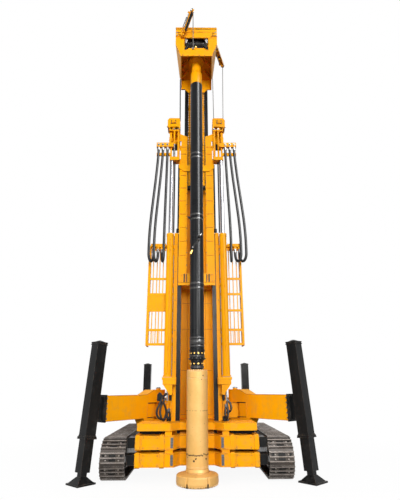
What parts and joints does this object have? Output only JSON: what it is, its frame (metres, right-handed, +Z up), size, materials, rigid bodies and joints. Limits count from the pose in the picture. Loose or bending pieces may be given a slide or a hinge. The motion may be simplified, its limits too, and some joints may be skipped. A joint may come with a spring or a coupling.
{
  "type": "piling rig",
  "caption": "Tracked piling rig with a three-stage telescopic mast, swing-out jack arms, hoisting jibs and a down-the-hole hammer.",
  "frame": {"origin": "on the ground, below the middle of the machine", "axes": "+Z up; -Y towards the front, where the drill string hangs; +X towards the side that is on the right for someone facing the front"},
  "size_m": [4.6192, 5.9816, 10.109],
  "materials": {
    "yellow_paint": "gloss paint",
    "black_paint": "satin paint",
    "track_steel": "worn steel with dry soil",
    "bare_steel": "bare steel",
    "rod_chrome": "polished",
    "hammer_bronze": "matt gold paint",
    "hose_rubber": "matt",
    "engine_grey": "painted casting"
  },
  "bodies": {
    "chassis": {"main_frame": "yellow_paint", "front_beams": "yellow_paint", "deck": "yellow_paint", "wear_plates": "bare_steel", "mast_stand": "yellow_paint", "engine_block": "engine_grey", "hood": "yellow_paint", "radiator": "black_paint", "fuel_tank": "yellow_paint", "oil_tank": "yellow_paint", "rear_tubes": "black_paint"},
    "track_unit_left": {"track_left": "track_steel", "side_frame_left": "black_paint", "wheels_left": "track_steel"},
    "track_unit_right": {"track_right": "track_steel", "side_frame_right": "black_paint", "wheels_right": "track_steel"},
    "door_left": {"door_left": "yellow_paint"},
    "door_right": {"door_right": "yellow_paint"},
    "arm_left": {"arm_left": "yellow_paint", "jack_tube_left": "black_paint"},
    "arm_right": {"arm_right": "yellow_paint", "jack_tube_right": "black_paint"},
    "jack_left": {"jack_leg_left": "black_paint"},
    "jack_right": {"jack_leg_right": "black_paint"},
    "rear_jack_left": {"rear_leg_left": "black_paint"},
    "rear_jack_right": {"rear_leg_right": "black_paint"},
    "mast_base": {"mast_base": "yellow_paint", "base_rails": "black_paint", "lift_barrels": "yellow_paint", "cages": "yellow_paint", "low_hose_brackets": "yellow_paint", "hoses_left": "hose_rubber", "hoses_right": "hose_rubber"},
    "tilt_barrels": {"tilt_barrels": "black_paint"},
    "tilt_rods": {"tilt_rods": "rod_chrome"},
    "mast_mid": {"mast_mid": "yellow_paint", "sheave_boxes": "yellow_paint", "lift_rods": "rod_chrome"},
    "mast_top": {"mast_top": "black_paint", "feed_chains": "yellow_paint", "head": "yellow_paint", "spindle": "yellow_paint"},
    "winch": {"winch_drum": "bare_steel"},
    "jib_left": {"jib_left": "yellow_paint"},
    "jib_right": {"jib_right": "yellow_paint"},
    "drill_string": {"drill_pipe": "black_paint", "hammer": "hammer_bronze"}
  },
  "joints": [
    {"name": "track_slide_left", "type": "slide", "parent": "chassis", "child": "track_unit_left", "axis": [1, 0, 0], "range_m": [0, 0.12]},
    {"name": "track_slide_right", "type": "slide", "parent": "chassis", "child": "track_unit_right", "axis": [-1, 0, 0], "range_m": [0, 0.12]},
    {"name": "arm_swing_left", "type": "hinge", "parent": "chassis", "child": "arm_left", "pos_m": [-0.85, -0.65, 1.2], "axis": [0, 0, -1], "range_deg": [-30, 60]},
    {"name": "arm_swing_right", "type": "hinge", "parent": "chassis", "child": "arm_right", "pos_m": [0.85, -0.65, 1.2], "axis": [0, 0, 1], "range_deg": [-30, 60]},
    {"name": "jack_slide_left", "type": "slide", "parent": "arm_left", "child": "jack_left", "axis": [0.0467, 0.0518, 0.9976], "range_m": [-0.15, 0.45]},
    {"name": "jack_slide_right", "type": "slide", "parent": "arm_right", "child": "jack_right", "axis": [-0.0467, 0.0518, 0.9976], "range_m": [-0.15, 0.45]},
    {"name": "rear_jack_slide_left", "type": "slide", "parent": "chassis", "child": "rear_jack_left", "axis": [0, 0, 1], "range_m": [-0.15, 0.45]},
    {"name": "rear_jack_slide_right", "type": "slide", "parent": "chassis", "child": "rear_jack_right", "axis": [0, 0, 1], "range_m": [-0.15, 0.45]},
    {"name": "mast_tilt", "type": "hinge", "parent": "chassis", "child": "mast_base", "pos_m": [0, -0.62, 1.62], "axis": [-1, 0, 0], "range_deg": [0, 90]},
    {"name": "tilt_barrel_swing", "type": "hinge", "parent": "chassis", "child": "tilt_barrels", "pos_m": [0, 0.5, 0.7], "axis": [1, 0, 0], "range_deg": [0, 6.97]},
    {"name": "tilt_rod_slide", "type": "slide", "parent": "tilt_barrels", "child": "tilt_rods", "axis": [0, -0.5922, 0.8058], "range_m": [-0.59, 0]},
    {"name": "mast_mid_slide", "type": "slide", "parent": "mast_base", "child": "mast_mid", "axis": [0, 0, 1], "range_m": [-1.9, 0.15], "deforming": ["hoses_left", "hoses_right"]},
    {"name": "mast_top_slide", "type": "slide", "parent": "mast_mid", "child": "mast_top", "axis": [0, 0, 1], "range_m": [-1.2, 0.15]},
    {"name": "drill_rotation", "type": "hinge", "parent": "mast_top", "child": "drill_string", "pos_m": [0, -2.11, 8.7], "axis": [0, 0, -1], "continuous": true},
    {"name": "winch_rotation", "type": "hinge", "parent": "mast_top", "child": "winch", "pos_m": [0, -2.29, 9.712], "axis": [1, 0, 0], "continuous": true},
    {"name": "jib_slew_left", "type": "hinge", "parent": "mast_top", "child": "jib_left", "pos_m": [-0.33, -2.62, 9.68], "axis": [0, 0, 1], "range_deg": [-72, 48]},
    {"name": "jib_slew_right", "type": "hinge", "parent": "mast_top", "child": "jib_right", "pos_m": [0.43, -2.17, 10.009], "axis": [0, 0, 1], "range_deg": [-120, 60]},
    {"name": "door_swing_left", "type": "hinge", "parent": "chassis", "child": "door_left", "pos_m": [-0.77, 1.5, 1.5], "axis": [0, 1, 0], "range_deg": [0, 80]},
    {"name": "door_swing_right", "type": "hinge", "parent": "chassis", "child": "door_right", "pos_m": [0.77, 1.5, 1.5], "axis": [0, -1, 0], "range_deg": [0, 80]}
  ],
  "couplings": [
    {"joint": "tilt_barrel_swing", "follows": "mast_tilt", "ratio": 0.075198},
    {"joint": "tilt_rod_slide", "follows": "mast_tilt", "m_per_rad": -0.37172}
  ]
}
